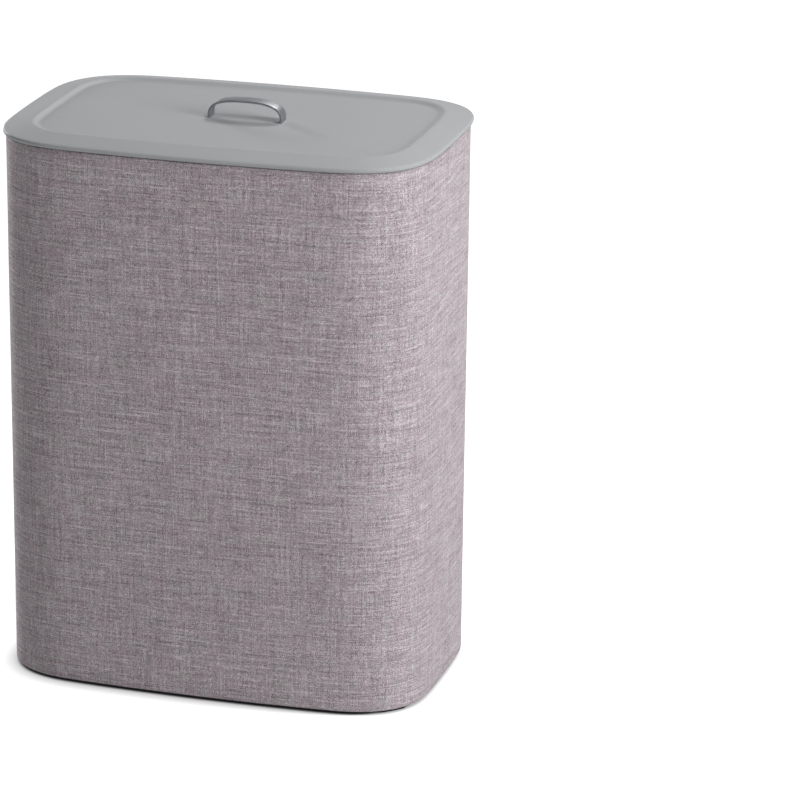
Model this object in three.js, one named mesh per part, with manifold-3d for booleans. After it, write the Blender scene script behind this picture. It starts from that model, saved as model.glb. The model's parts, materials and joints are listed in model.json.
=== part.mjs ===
// A laundry hamper with a lift-off lid and two removable tote bags inside.
//
// The hamper is a board sleeve covered in woven fabric, standing on four rubber corner feet.
// A plastic rim inside its mouth locates the lid and carries the wire hoops of the totes.
// Millimetres, +Z up. The origin is on the floor, at the middle of the hamper.
// The wide front faces -Y. The totes stand side by side along X.
import * as THREE from "three";
import Module from "manifold-3d";
import { mergeVertices } from "three/addons/utils/BufferGeometryUtils.js";

// ---- Driving dimensions -------------------------------------------------------------------

const totalHeight = 612; // floor to the top of the lid's handle
const cornerWidth = 445.5; // width of the sleeve measured at its corners
const cornerDepth = 283; // depth of the mouth measured at its corners
const baseDepthShare = 0.93; // depth at the floor as a share of the depth at the mouth
const bowOfEnds = 5.5; // how far each end wall swells beyond its corners
const bowOfFronts = 12.5; // how far the front and back walls swell beyond theirs
const cornerRadius = 94;
const cornerFullness = 3; // exponent of a corner's curve: 2 is a circle, larger is squarer
const gap = 0.3; // clearance between neighbouring pieces

// ---- Sleeve and base ----------------------------------------------------------------------

const floorGap = 3.8; // height of the fabric's bottom edge above the floor
const fabricThickness = 1.2;
const boardThickness = 3;
const liningThickness = 0.8;
const hemDepth = 25; // how far the fabric turns down inside the mouth
const turnUnder = 10; // how far the fabric turns in under the base
const baseThickness = 6;
const baseCoverInset = 3;
const baseCoverThickness = 1.2;
const footHeight = 2;
const footReach = 101; // from a corner's centre to the outside of its foot
const footWidth = 14; // radially
const footAngle = THREE.MathUtils.degToRad(43); // from the end wall's side to a foot's middle
const footHalfAngle = THREE.MathUtils.degToRad(7); // from a foot's middle to the centre of a round end
const footPegRadius = 3;

// ---- Lid ----------------------------------------------------------------------------------

const lidThickness = 2.5;
const lidCrest = 11; // the crest of the raised border above the fabric's top edge
const lidShoulder = { outside: 1, height: 5.9 }; // where the sloping border turns down
const lidLip = { outside: 3, height: 3.8, bottom: 0.5 }; // the rounded edge of the lid
const lipInside = 1.8; // from the outside of the sleeve in to the inner edge of the lip
const recessDepth = 3.2;
const crestInset = 26; // from the outside of the sleeve to the inner edge of the crest
const recessInset = 34; // to where the flat middle of the lid begins
const skirtInset = 10.2;
const skirtThickness = 2;
const skirtDepth = 14; // below the fabric's top edge

// ---- Lid handle ---------------------------------------------------------------------------

const handleX = 8; // the handle is fitted a little to the right of the middle
const strapSpan = 80;
const strapHeight = 21; // above the flat middle of the lid
const strapWidth = 16.5;
const strapThickness = 2.2;
const strapFullness = 2.7; // exponent of the arch: 2 is an ellipse, larger is squarer
const strapSpringing = 3; // height of the straight legs above the flat middle of the lid
const strapTab = 14; // length of the tabs folded in under the lid
const backplate = { width: 92, depth: 26, thickness: 3 };
const handleScrewX = 15;
const handleScrew = { shank: 1.6, head: 3.8, headHeight: 2.4, clearance: 0.35, point: 0.8 };
const screwCover = 1.4; // plastic left between a screw's tip and the top of the lid
const bossRadius = 4.5;

// ---- Rim and totes ------------------------------------------------------------------------

const rimThickness = 2.5;
const rimFlange = 1.7; // thickness of the flange that covers the fabric's top edge
const rimFlangeInset = 3;
const ledgeBelowTop = 58;
const ledgeThickness = 3;
const toteInset = 10; // from the outside of the sleeve to the outside of a tote's hem
const toteHalfGap = 1.5; // from the middle of the hamper to the hem of either tote
const toteMiddleRadius = 14; // corner radius of a tote on the side facing the other tote
const toteCloth = 1.2;
const toteFloorChamfer = 4;
const toteBoardGap = 4.6; // from a tote's wall to its base board
const hoopRadius = 2;
const hoopClearance = 0.4;
const toteBoardThickness = 2;
const toteHandle = {
  halfWidth: 44,
  strap: 22,
  thickness: 2.5,
  rise: 44, // above the tote's hem
  sewn: 30, // length below the tote's hem
  lean: 0.35, // inwards for each millimetre of rise
  gap: 1.8, // from the tote's wall
};

// ---- Levels worked out from the above -----------------------------------------------------

const fabricBottom = floorGap;
const fabricTop = totalHeight - strapHeight - lidCrest + recessDepth;
const lidFlat = fabricTop + lidCrest - recessDepth;
const boardInset = fabricThickness + gap;
const liningInset = boardInset + boardThickness + gap;
const baseBottom = fabricBottom + fabricThickness + gap;
const baseTop = baseBottom + baseThickness;
const hemInset = liningInset + fabricThickness;
const rimInset = hemInset + gap;
const rimInnerInset = rimInset + rimThickness;
const ledgeTop = fabricTop - ledgeBelowTop;
const hoopInset = toteCloth + hoopClearance + hoopRadius;
const toteWallInset = 2 * hoopInset - toteCloth;
const ledgeInnerInset = toteInset + toteWallInset - hoopClearance;
const hoopLevel = ledgeTop + hoopClearance + hoopRadius;
const toteHemTop = hoopLevel + hoopRadius + hoopClearance + toteCloth;
const toteBottom = baseTop + 2 * gap;

const tallestStep = 150; // longest upright facet, so that the tapering walls stay true
const cornerSteps = 6;
const frontSteps = 4;
const endSteps = 3;
const roundSteps = 16;

// ---- Materials ----------------------------------------------------------------------------

const material = (color, roughness, metalness = 0) =>
  new THREE.MeshStandardMaterial({ color, roughness, metalness });

const materials = {
  wovenFabric: material(0x96898f, 0.9),
  board: material(0xa89a84, 0.85),
  lining: material(0xb9b9bb, 0.9),
  greyPlastic: material(0x9fa1a3, 0.45),
  blackPlastic: material(0x222224, 0.6),
  rubber: material(0x161617, 0.85),
  steel: material(0x8f9998, 0.35, 0.9),
  wire: material(0xb4b6b8, 0.35, 1),
  lightCloth: material(0xd4d3cf, 0.9),
  darkCloth: material(0x5a5b5e, 0.9),
  webbing: material(0x3d3e41, 0.85),
};

// ---- Outlines -----------------------------------------------------------------------------

// Swells a point of the plan outwards, so that straight walls become shallow bows.
function bow(x, y) {
  const acrossX = x / (cornerWidth / 2);
  const acrossY = y / (cornerDepth / 2);
  return new THREE.Vector2(
    x + acrossX * bowOfEnds * (1 - acrossY * acrossY),
    y + acrossY * bowOfFronts * (1 - acrossX * acrossX),
  );
}

// A point of the unit curve that rounds the corners.
function cornerPoint(angle) {
  const squared = (part) => Math.sign(part) * Math.abs(part) ** (2 / cornerFullness);
  const near = (part) => (Math.abs(part) < 1e-9 ? 0 : squared(part));
  return [near(Math.cos(angle)), near(Math.sin(angle))];
}

const wholePlan = {
  xMin: -cornerWidth / 2,
  xMax: cornerWidth / 2,
  yHalf: cornerDepth / 2,
  leftRadius: cornerRadius,
  rightRadius: cornerRadius,
};

// The plan of the tote on one side of the hamper: side is -1 for the left and 1 for the right.
function totePlan(side) {
  const outer = cornerWidth / 2 - toteInset;
  const outerRadius = cornerRadius - toteInset;
  return {
    xMin: side < 0 ? -outer : toteHalfGap,
    xMax: side < 0 ? -toteHalfGap : outer,
    yHalf: cornerDepth / 2 - toteInset,
    leftRadius: side < 0 ? outerRadius : toteMiddleRadius,
    rightRadius: side < 0 ? toteMiddleRadius : outerRadius,
  };
}

// The points of a plan, counter-clockwise, moved inwards by inset.
function outline(plan, inset) {
  const left = Math.max(plan.leftRadius - inset, 1);
  const right = Math.max(plan.rightRadius - inset, 1);
  const x0 = plan.xMin + inset;
  const x1 = plan.xMax - inset;
  const y = plan.yHalf - inset;
  const corners = [
    [x1 - right, y - right, right],
    [x0 + left, y - left, left],
    [x0 + left, left - y, left],
    [x1 - right, right - y, right],
  ];
  const plain = [];
  corners.forEach(([cx, cy, radius], quarter) => {
    for (let i = 0; i <= cornerSteps; i++) {
      const [u, v] = cornerPoint(((quarter + i / cornerSteps) * Math.PI) / 2);
      plain.push([cx + radius * u, cy + radius * v]);
    }
    const [nextX, nextY, nextRadius] = corners[(quarter + 1) % 4];
    const [nextU, nextV] = cornerPoint(((quarter + 1) * Math.PI) / 2);
    const [fromX, fromY] = plain[plain.length - 1];
    const toX = nextX + nextRadius * nextU;
    const toY = nextY + nextRadius * nextV;
    const steps = quarter % 2 ? endSteps : frontSteps;
    for (let i = 1; i < steps; i++) {
      plain.push([fromX + ((toX - fromX) * i) / steps, fromY + ((toY - fromY) * i) / steps]);
    }
  });
  return plain.map(([px, py]) => bow(px, py));
}

// ---- Solids -------------------------------------------------------------------------------

// The profile with its tall steps divided into shorter ones.
function divided(profile, closed) {
  const points = [];
  profile.forEach(([inset, z], i) => {
    points.push([inset, z]);
    if (!closed && i === profile.length - 1) return;
    const [nextInset, nextZ] = profile[(i + 1) % profile.length];
    const steps = Math.max(1, Math.ceil(Math.abs(nextZ - z) / tallestStep));
    for (let k = 1; k < steps; k++) {
      const share = k / steps;
      points.push([inset + (nextInset - inset) * share, z + (nextZ - z) * share]);
    }
  });
  return points;
}

// Carries a profile of [inset, z] points round a plan. A closed profile makes a ring. An open
// one is capped at its first point, facing down, and at its last point, facing up. Either way
// the profile runs up the outside.
function loft(plan, profile, closed) {
  const levels = divided(profile, closed);
  const rings = levels.map(([inset, z]) => outline(plan, inset).map((p) => [p.x, p.y, z]));
  const around = rings[0].length;
  const positions = rings.flat();
  const index = [];
  const spans = closed ? rings.length : rings.length - 1;
  for (let ring = 0; ring < spans; ring++) {
    const upper = (ring + 1) % rings.length;
    for (let i = 0; i < around; i++) {
      const j = (i + 1) % around;
      const a = ring * around + i;
      const b = ring * around + j;
      const c = upper * around + j;
      const d = upper * around + i;
      index.push(a, b, c, a, c, d);
    }
  }
  if (!closed) {
    const middleX = (plan.xMin + plan.xMax) / 2;
    const last = (rings.length - 1) * around;
    const below = positions.push([middleX, 0, profile[0][1]]) - 1;
    const above = positions.push([middleX, 0, profile[profile.length - 1][1]]) - 1;
    for (let i = 0; i < around; i++) {
      const j = (i + 1) % around;
      index.push(below, j, i, above, last + i, last + j);
    }
  }
  const geometry = new THREE.BufferGeometry();
  geometry.setAttribute("position", new THREE.Float32BufferAttribute(positions.flat(), 3));
  geometry.setIndex(index);
  geometry.computeVertexNormals();
  return geometry;
}

const ringAround = (plan, profile) => loft(plan, profile, true);
const plateOf = (plan, profile) => loft(plan, profile, false);

const wasm = await Module();
wasm.setup();

function toSolid(geometry) {
  const bare = geometry.clone();
  bare.deleteAttribute("normal");
  bare.deleteAttribute("uv");
  const merged = mergeVertices(bare, 1e-4);
  return new wasm.Manifold(
    new wasm.Mesh({
      numProp: 3,
      vertProperties: new Float32Array(merged.attributes.position.array),
      triVerts: new Uint32Array(merged.index.array),
    }),
  );
}

function toGeometry(solid) {
  const mesh = solid.getMesh();
  const geometry = new THREE.BufferGeometry();
  geometry.setAttribute("position", new THREE.BufferAttribute(mesh.vertProperties, 3));
  geometry.setIndex(new THREE.BufferAttribute(mesh.triVerts, 1));
  geometry.computeVertexNormals();
  return geometry;
}

// An upright cylinder from one level to another.
function post(radius, x, y, from, to, steps = roundSteps) {
  const geometry = new THREE.CylinderGeometry(radius, radius, to - from, steps);
  return geometry.rotateX(Math.PI / 2).translate(x, y, (from + to) / 2);
}

function block(width, depth, height, x, y, z) {
  return new THREE.BoxGeometry(width, depth, height).translate(x, y, z);
}

// Narrows a piece from front to back towards the floor, as the sleeve narrows.
function tapered(geometry) {
  const position = geometry.attributes.position;
  for (let i = 0; i < position.count; i++) {
    const rise = (position.getZ(i) - fabricBottom) / (fabricTop - fabricBottom);
    const share = THREE.MathUtils.lerp(baseDepthShare, 1, THREE.MathUtils.clamp(rise, 0, 1));
    position.setY(i, position.getY(i) * share);
  }
  geometry.computeVertexNormals();
  return geometry;
}

const hamper = new THREE.Group();

function add(name, geometry, look, parent) {
  const mesh = new THREE.Mesh(geometry, look);
  mesh.name = name;
  parent.add(mesh);
}

// ---- Sleeve, lining, rim and base ---------------------------------------------------------

const corners = [
  ["front_left", -1, -1],
  ["front_right", 1, -1],
  ["back_left", -1, 1],
  ["back_right", 1, 1],
];

// The middle of each corner's arc in plan, where its foot is fitted.
const cornerCentre = (sx, sy) => [
  sx * (cornerWidth / 2 - cornerRadius),
  sy * (cornerDepth / 2 - cornerRadius),
];
const footRadius = footReach - footWidth / 2;

// A peg stands at the inner edge of its foot, clear of the fabric turned in under the base.
function footPegPlace(sx, sy) {
  const [cx, cy] = cornerCentre(sx, sy);
  const reach = footReach - footWidth + footPegRadius;
  return [cx + sx * reach * Math.cos(footAngle), cy + sy * reach * Math.sin(footAngle)];
}

// The fabric turns down inside the mouth and in under the base.
function fabricCover() {
  const top = fabricTop;
  const under = fabricTop - fabricThickness;
  const over = fabricBottom + fabricThickness;
  return ringAround(wholePlan, [
    [0, fabricBottom],
    [0, top],
    [hemInset, top],
    [hemInset, top - hemDepth],
    [liningInset, top - hemDepth],
    [liningInset, under],
    [fabricThickness, under],
    [fabricThickness, over],
    [turnUnder, over],
    [turnUnder, fabricBottom],
  ]);
}

function sleeveBoard() {
  const outer = boardInset;
  const inner = boardInset + boardThickness;
  const top = fabricTop - fabricThickness - gap;
  return ringAround(wholePlan, [
    [outer, baseBottom],
    [outer, top],
    [inner, top],
    [inner, baseBottom],
  ]);
}

function innerLining() {
  const inner = liningInset + liningThickness;
  const bottom = baseTop + gap;
  const top = fabricTop - hemDepth - gap;
  return ringAround(wholePlan, [
    [liningInset, bottom],
    [liningInset, top],
    [inner, top],
    [inner, bottom],
  ]);
}

// A flange over the fabric's top edge, a wall inside it, and the ledge that carries the totes.
function rimFrame() {
  const flangeBottom = fabricTop + gap;
  const flangeTop = flangeBottom + rimFlange;
  return ringAround(wholePlan, [
    [rimInset, ledgeTop - ledgeThickness],
    [rimInset, flangeBottom],
    [rimFlangeInset, flangeBottom],
    [rimFlangeInset, flangeTop],
    [rimInnerInset, flangeTop],
    [rimInnerInset, ledgeTop],
    [ledgeInnerInset, ledgeTop],
    [ledgeInnerInset, ledgeTop - ledgeThickness],
  ]);
}

function withPegHoles(geometry, from, to) {
  let solid = toSolid(geometry);
  for (const [, sx, sy] of corners) {
    const [x, y] = footPegPlace(sx, sy);
    solid = solid.subtract(toSolid(post(footPegRadius + gap, x, y, from - 1, to + 1)));
  }
  return toGeometry(solid);
}

function baseBoard() {
  const profile = [
    [liningInset, baseBottom],
    [liningInset, baseTop],
  ];
  return withPegHoles(plateOf(wholePlan, profile), baseBottom, baseTop);
}

function baseCover() {
  const top = fabricBottom - gap;
  const profile = [
    [baseCoverInset, top - baseCoverThickness],
    [baseCoverInset, top],
  ];
  return withPegHoles(plateOf(wholePlan, profile), top - baseCoverThickness, top);
}

// A curved pad that follows the corner, with round ends and a peg up into the base board.
function foot(sx, sy) {
  const [cx, cy] = cornerCentre(sx, sy);
  const middle = Math.atan2(sy * Math.sin(footAngle), sx * Math.cos(footAngle));
  const from = middle - footHalfAngle;
  const to = middle + footHalfAngle;
  const outer = footRadius + footWidth / 2;
  const inner = footRadius - footWidth / 2;
  const endAt = (angle) => [cx + footRadius * Math.cos(angle), cy + footRadius * Math.sin(angle)];
  const pad = new THREE.Shape();
  pad.absarc(cx, cy, outer, from, to, false);
  pad.absarc(...endAt(to), footWidth / 2, to, to + Math.PI, false);
  pad.absarc(cx, cy, inner, to, from, true);
  pad.absarc(...endAt(from), footWidth / 2, from + Math.PI, from + 2 * Math.PI, false);
  const padSolid = toSolid(
    new THREE.ExtrudeGeometry(pad, { depth: footHeight, bevelEnabled: false, curveSegments: 6 }),
  );
  const [x, y] = footPegPlace(sx, sy);
  const peg = toSolid(post(footPegRadius, x, y, footHeight - 1, baseTop - 1));
  return toGeometry(padSolid.add(peg));
}

function buildSleeve() {
  const group = new THREE.Group();
  add("fabric_cover", tapered(fabricCover()), materials.wovenFabric, group);
  add("sleeve_board", tapered(sleeveBoard()), materials.board, group);
  add("inner_lining", tapered(innerLining()), materials.lining, group);
  add("rim_frame", tapered(rimFrame()), materials.greyPlastic, group);
  add("base_board", tapered(baseBoard()), materials.board, group);
  add("base_cover", tapered(baseCover()), materials.blackPlastic, group);
  for (const [name, sx, sy] of corners) {
    add(`foot_${name}`, tapered(foot(sx, sy)), materials.rubber, group);
  }
  return group;
}

// ---- Totes --------------------------------------------------------------------------------

// An open bag whose top edge is folded outwards and down over the wire hoop.
function toteBag(side) {
  const innerWall = toteWallInset + toteCloth;
  const floor = toteBottom + toteCloth;
  const foldFrom = ledgeTop + hoopClearance;
  const underFold = toteHemTop - toteCloth;
  const chamfer = toteFloorChamfer;
  return plateOf(totePlan(side), [
    [toteWallInset + chamfer, toteBottom],
    [toteWallInset, toteBottom + chamfer],
    [toteWallInset, underFold],
    [toteCloth, underFold],
    [toteCloth, foldFrom],
    [0, foldFrom],
    [0, toteHemTop],
    [innerWall, toteHemTop],
    [innerWall, floor + chamfer],
    [innerWall + chamfer, floor],
  ]);
}

function toteHoop(side) {
  const steps = 8;
  const section = [];
  for (let i = 0; i < steps; i++) {
    const angle = (i / steps) * 2 * Math.PI;
    section.push([
      hoopInset - hoopRadius * Math.cos(angle),
      hoopLevel + hoopRadius * Math.sin(angle),
    ]);
  }
  return ringAround(totePlan(side), section);
}

function toteBoard(side) {
  const inset = toteWallInset + toteCloth + toteBoardGap;
  const bottom = toteBottom + toteCloth + gap;
  return plateOf(totePlan(side), [
    [inset, bottom],
    [inset, bottom + toteBoardThickness],
  ]);
}

// A webbing loop sewn inside the tote's front or back wall. It leans in over the tote's mouth.
function toteHandleLoop(side, facing) {
  const { halfWidth, strap, thickness, rise, sewn, lean } = toteHandle;
  const outerRadius = rise - 2;
  const innerRadius = outerRadius - strap;
  const bottom = toteHemTop - sewn;
  const springing = toteHemTop + rise - outerRadius;
  const inner = halfWidth - strap;
  const loop = new THREE.Shape();
  loop.moveTo(-halfWidth, bottom);
  loop.lineTo(-inner, bottom);
  loop.lineTo(-inner, springing);
  loop.absarc(innerRadius - inner, springing, innerRadius, Math.PI, Math.PI / 2, true);
  loop.absarc(inner - innerRadius, springing, innerRadius, Math.PI / 2, 0, true);
  loop.lineTo(inner, bottom);
  loop.lineTo(halfWidth, bottom);
  loop.lineTo(halfWidth, springing);
  loop.absarc(halfWidth - outerRadius, springing, outerRadius, 0, Math.PI / 2, false);
  loop.absarc(outerRadius - halfWidth, springing, outerRadius, Math.PI / 2, Math.PI, false);
  const options = { depth: thickness, bevelEnabled: false, curveSegments: 6 };
  const geometry = new THREE.ExtrudeGeometry(loop, options);
  const plan = totePlan(side);
  const middleX = (plan.xMin + plan.xMax) / 2;
  const wallY = plan.yHalf - toteWallInset - toteCloth - toteHandle.gap;
  const position = geometry.attributes.position;
  for (let i = 0; i < position.count; i++) {
    const z = position.getY(i);
    const inwards = position.getZ(i) + lean * Math.max(0, z - springing);
    const x = middleX + facing * position.getX(i);
    const bowed = bow(x, facing * (wallY - inwards));
    position.setXYZ(i, bowed.x, bowed.y, z);
  }
  geometry.computeVertexNormals();
  return geometry;
}

function buildTote(name, side, cloth) {
  const group = new THREE.Group();
  add(`${name}_bag`, tapered(toteBag(side)), cloth, group);
  add(`${name}_hoop`, tapered(toteHoop(side)), materials.wire, group);
  add(`${name}_base_board`, tapered(toteBoard(side)), materials.board, group);
  add(`${name}_front_handle`, tapered(toteHandleLoop(side, -1)), materials.webbing, group);
  add(`${name}_back_handle`, tapered(toteHandleLoop(side, 1)), materials.webbing, group);
  return group;
}

// ---- Lid ----------------------------------------------------------------------------------

const strapLegX = (strapSpan - strapThickness) / 2;
const lidUnderside = lidFlat - lidThickness;
const tabTop = lidUnderside - gap;
const tabBottom = tabTop - strapThickness;
const backplateTop = tabBottom - gap;
const backplateBottom = backplateTop - backplate.thickness;
const bossBottom = backplateTop + gap;

// Height of the lid's sloping border above the fabric's top edge.
function borderHeight(inset) {
  const { outside, height } = lidShoulder;
  return THREE.MathUtils.mapLinear(inset, -outside, crestInset, height, lidCrest);
}

// From the middle of the underside out to the lip, and back over the top to the middle.
function lidMoulding() {
  const z = (above) => fabricTop + above;
  const skirtInner = skirtInset + skirtThickness;
  const flat = lidCrest - recessDepth;
  const wall = lidThickness;
  const under = (inset) => [inset, z(borderHeight(inset) - wall)];
  const { outside, height, bottom } = lidLip;
  return plateOf(wholePlan, [
    [recessInset + 1, z(flat - wall)],
    [recessInset - 3, z(flat - wall + 0.6)],
    [crestInset + 1, z(lidCrest - wall - 0.4)],
    under(crestInset - 4),
    under(skirtInner),
    [skirtInner, z(-skirtDepth)],
    [skirtInset, z(-skirtDepth)],
    under(skirtInset),
    under(1),
    [-0.6, z(height - 0.6)],
    [-0.2, z(height - 1.5)],
    [lipInside, z(bottom + 0.5)],
    [lipInside - 1.5, z(bottom)],
    [-outside + 1.4, z(bottom + 0.5)],
    [-outside + 0.3, z(bottom + 1.8)],
    [-outside, z(height)],
    [-outside + 0.6, z(height + 1.3)],
    [-lidShoulder.outside, z(lidShoulder.height)],
    [crestInset - 5, z(borderHeight(crestInset - 5))],
    [crestInset, z(lidCrest)],
    [crestInset + 2.5, z(lidCrest - 0.9)],
    [recessInset - 2.5, z(flat + 0.6)],
    [recessInset, z(flat)],
  ]);
}

// The moulding with the strap's slots cut through it, and bosses for the handle's screws.
function lidShell() {
  let solid = toSolid(lidMoulding());
  for (const side of [-1, 1]) {
    const screwAt = handleX + side * handleScrewX;
    const slotAt = handleX + side * strapLegX;
    const boss = post(bossRadius, screwAt, 0, bossBottom, lidUnderside + 1);
    const pilot = handleScrew.shank + handleScrew.clearance;
    const hole = post(pilot, screwAt, 0, bossBottom - 1, lidFlat - 1);
    const slotWidth = strapThickness + 2 * gap;
    const slotDepth = strapWidth + 2 * gap;
    const slot = block(slotWidth, slotDepth, 4 * lidThickness, slotAt, 0, lidUnderside);
    solid = solid.add(toSolid(boss)).subtract(toSolid(hole)).subtract(toSolid(slot));
  }
  return toGeometry(solid);
}

// A flat metal strap bent into an arch. Its legs pass through the lid and fold inwards.
function handleStrap() {
  const steps = 20;
  const arch = (halfSpan, height) => {
    const points = [];
    for (let i = 0; i <= steps; i++) {
      const angle = (i / steps) * Math.PI;
      const c = Math.cos(angle);
      const s = Math.max(Math.sin(angle), 0);
      const power = 2 / strapFullness;
      const x = halfSpan * Math.sign(c) * Math.abs(c) ** power;
      points.push(new THREE.Vector2(x, springing + height * s ** power));
    }
    return points;
  };
  const springing = lidFlat + strapSpringing;
  const height = strapHeight - strapSpringing;
  const outer = arch(strapSpan / 2, height);
  const inner = arch(strapSpan / 2 - strapThickness, height - strapThickness).reverse();
  const outerX = strapSpan / 2;
  const innerX = outerX - strapThickness;
  const tabEnd = outerX - strapTab;
  const shape = new THREE.Shape([
    ...outer,
    new THREE.Vector2(-outerX, tabBottom),
    new THREE.Vector2(-tabEnd, tabBottom),
    new THREE.Vector2(-tabEnd, tabTop),
    new THREE.Vector2(-innerX, tabTop),
    ...inner,
    new THREE.Vector2(innerX, tabTop),
    new THREE.Vector2(tabEnd, tabTop),
    new THREE.Vector2(tabEnd, tabBottom),
    new THREE.Vector2(outerX, tabBottom),
  ]);
  const geometry = new THREE.ExtrudeGeometry(shape, { depth: strapWidth, bevelEnabled: false });
  return geometry.rotateX(Math.PI / 2).translate(handleX, strapWidth / 2, 0);
}

// Clamps the strap's tabs against the lid from below.
function handleBackplate() {
  const level = (backplateTop + backplateBottom) / 2;
  const { width, depth, thickness } = backplate;
  let solid = toSolid(block(width, depth, thickness, handleX, 0, level));
  for (const side of [-1, 1]) {
    const hole = handleScrew.shank + handleScrew.clearance;
    const screwAt = handleX + side * handleScrewX;
    const drill = post(hole, screwAt, 0, backplateBottom - 1, backplateTop + 1);
    solid = solid.subtract(toSolid(drill));
  }
  return toGeometry(solid);
}

// A pan-head screw, turned about its own axis, driven upwards into its boss.
function screw(side) {
  const { shank, head, headHeight, point } = handleScrew;
  const headTop = backplateBottom - gap;
  const tip = lidFlat - screwCover;
  const profile = [
    [0, headTop - headHeight],
    [head - point, headTop - headHeight],
    [head, headTop - headHeight + point],
    [head, headTop],
    [shank, headTop],
    [shank, tip - point],
    [0, tip],
  ];
  const points = profile.map(([radius, z]) => new THREE.Vector2(radius, z));
  const geometry = new THREE.LatheGeometry(points, roundSteps);
  return geometry.rotateX(Math.PI / 2).translate(handleX + side * handleScrewX, 0, 0);
}

function buildLid() {
  const group = new THREE.Group();
  add("lid_shell", lidShell(), materials.greyPlastic, group);
  add("lid_handle_strap", handleStrap(), materials.steel, group);
  add("lid_handle_backplate", handleBackplate(), materials.greyPlastic, group);
  add("lid_handle_screw_left", screw(-1), materials.steel, group);
  add("lid_handle_screw_right", screw(1), materials.steel, group);
  return group;
}

hamper.add(buildSleeve());
hamper.add(buildTote("light_tote", -1, materials.lightCloth));
hamper.add(buildTote("dark_tote", 1, materials.darkCloth));
hamper.add(buildLid());

export default hamper;
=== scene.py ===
"""Looks of the laundry hamper: woven cover, moulded lid, satin strap handle and two totes."""

import json
import math

import bpy
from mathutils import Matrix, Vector, noise


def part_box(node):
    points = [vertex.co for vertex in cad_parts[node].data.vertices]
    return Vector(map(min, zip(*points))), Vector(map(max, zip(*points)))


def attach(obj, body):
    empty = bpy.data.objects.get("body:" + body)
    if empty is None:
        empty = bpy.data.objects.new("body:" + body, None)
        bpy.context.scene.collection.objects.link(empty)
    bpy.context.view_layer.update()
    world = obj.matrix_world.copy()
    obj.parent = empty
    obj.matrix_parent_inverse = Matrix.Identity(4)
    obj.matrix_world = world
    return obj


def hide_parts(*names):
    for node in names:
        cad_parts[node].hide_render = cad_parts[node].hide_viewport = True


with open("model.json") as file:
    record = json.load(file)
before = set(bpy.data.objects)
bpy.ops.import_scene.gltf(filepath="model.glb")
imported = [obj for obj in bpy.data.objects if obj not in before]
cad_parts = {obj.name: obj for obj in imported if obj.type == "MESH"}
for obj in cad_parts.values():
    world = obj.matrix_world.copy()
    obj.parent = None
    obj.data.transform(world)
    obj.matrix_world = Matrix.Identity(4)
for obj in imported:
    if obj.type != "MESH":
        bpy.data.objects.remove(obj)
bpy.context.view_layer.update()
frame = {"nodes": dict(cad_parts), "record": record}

MM = 0.001

# ---- Plan of the hamper, as in the CAD model, in millimetres ----

CORNER_WIDTH, CORNER_DEPTH = 445.5, 283.0
BASE_DEPTH_SHARE = 0.93
BOW_OF_ENDS, BOW_OF_FRONTS = 5.5, 12.5
CORNER_RADIUS = 94.0
CORNER_FULLNESS = 3.0
TOTE_INSET, TOTE_HALF_GAP, TOTE_MIDDLE_RADIUS = 10.0, 1.5, 14.0

# How many steps an outline has in each corner and along each front and end.
CORNER_STEPS, FRONT_STEPS, END_STEPS = 18, 20, 12

# ---- Levels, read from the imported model, in millimetres ----

LEDGE_THICKNESS = 3.0


def level(node, end):
    """The lowest (end 0) or highest (end 1) level of a CAD node."""
    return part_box(node)[end].z / MM


FABRIC_BOTTOM = level("fabric_cover", 0)
FABRIC_TOP = level("fabric_cover", 1)
LEDGE_UNDER = level("rim_frame", 0)
LEDGE_TOP = LEDGE_UNDER + LEDGE_THICKNESS
RIM_TOP = level("rim_frame", 1)
HOOP_LEVEL = (level("light_tote_hoop", 0) + level("light_tote_hoop", 1)) / 2
TOTE_BOTTOM = level("light_tote_bag", 0)
TOTE_HEM_FOOT = HOOP_LEVEL - 9.5
HANDLE_TOP = level("lid_handle_strap", 1)
TAB_UNDER = level("lid_handle_strap", 0)

# ---- Sizes of the pieces, as in the CAD model, in millimetres ----

COVER_CLOTH = 1.2
COVER_TURNED_IN, COVER_TURNED_DOWN, COVER_TURNED_UNDER = 6.0, 25.0, 10.0
SEAM_HALF_WIDTH = 7.0
LID_CREST, RECESS_DEPTH, LID_WALL = 11.0, 3.2, 2.5
SHOULDER_OUTSIDE, SHOULDER_HEIGHT = 1.0, 5.9
LIP_OUTSIDE, LIP_HEIGHT, LIP_BOTTOM, LIP_INSIDE = 3.0, 3.8, 0.5, 1.8
CREST_INSET, RECESS_INSET = 26.0, 34.0
SKIRT_INSET, SKIRT_WALL, SKIRT_DEPTH = 10.2, 2.0, 14.0
LID_FLAT = FABRIC_TOP + LID_CREST - RECESS_DEPTH
HANDLE_X = 8.0
STRAP_SPAN, STRAP_WIDTH, STRAP_THICKNESS = 80.0, 16.5, 2.2
STRAP_FULLNESS, STRAP_SPRINGING, STRAP_TAB = 2.7, 3.0, 14.0
BOSS_X, BOSS_RADIUS, PILOT_RADIUS, BOSS_DEPTH = 15.0, 4.5, 1.95, 2.5
TOTE_CLOTH = 1.2
HOOP_INSET, HOOP_RADIUS = 3.6, 2.0
TOTE_WALL_INSET = 6.0
LOOP_HALF_WIDTH, LOOP_STRAP, LOOP_THICKNESS = 44.0, 22.0, 2.5
LOOP_RISE, LOOP_SEWN, LOOP_LEAN, LOOP_GAP = 44.0, 30.0, 0.35, 1.8

# A plan is its lowest and highest x, half its depth, and its left and right corner radii.
WHOLE = (-CORNER_WIDTH / 2, CORNER_WIDTH / 2, CORNER_DEPTH / 2, CORNER_RADIUS, CORNER_RADIUS)


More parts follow.
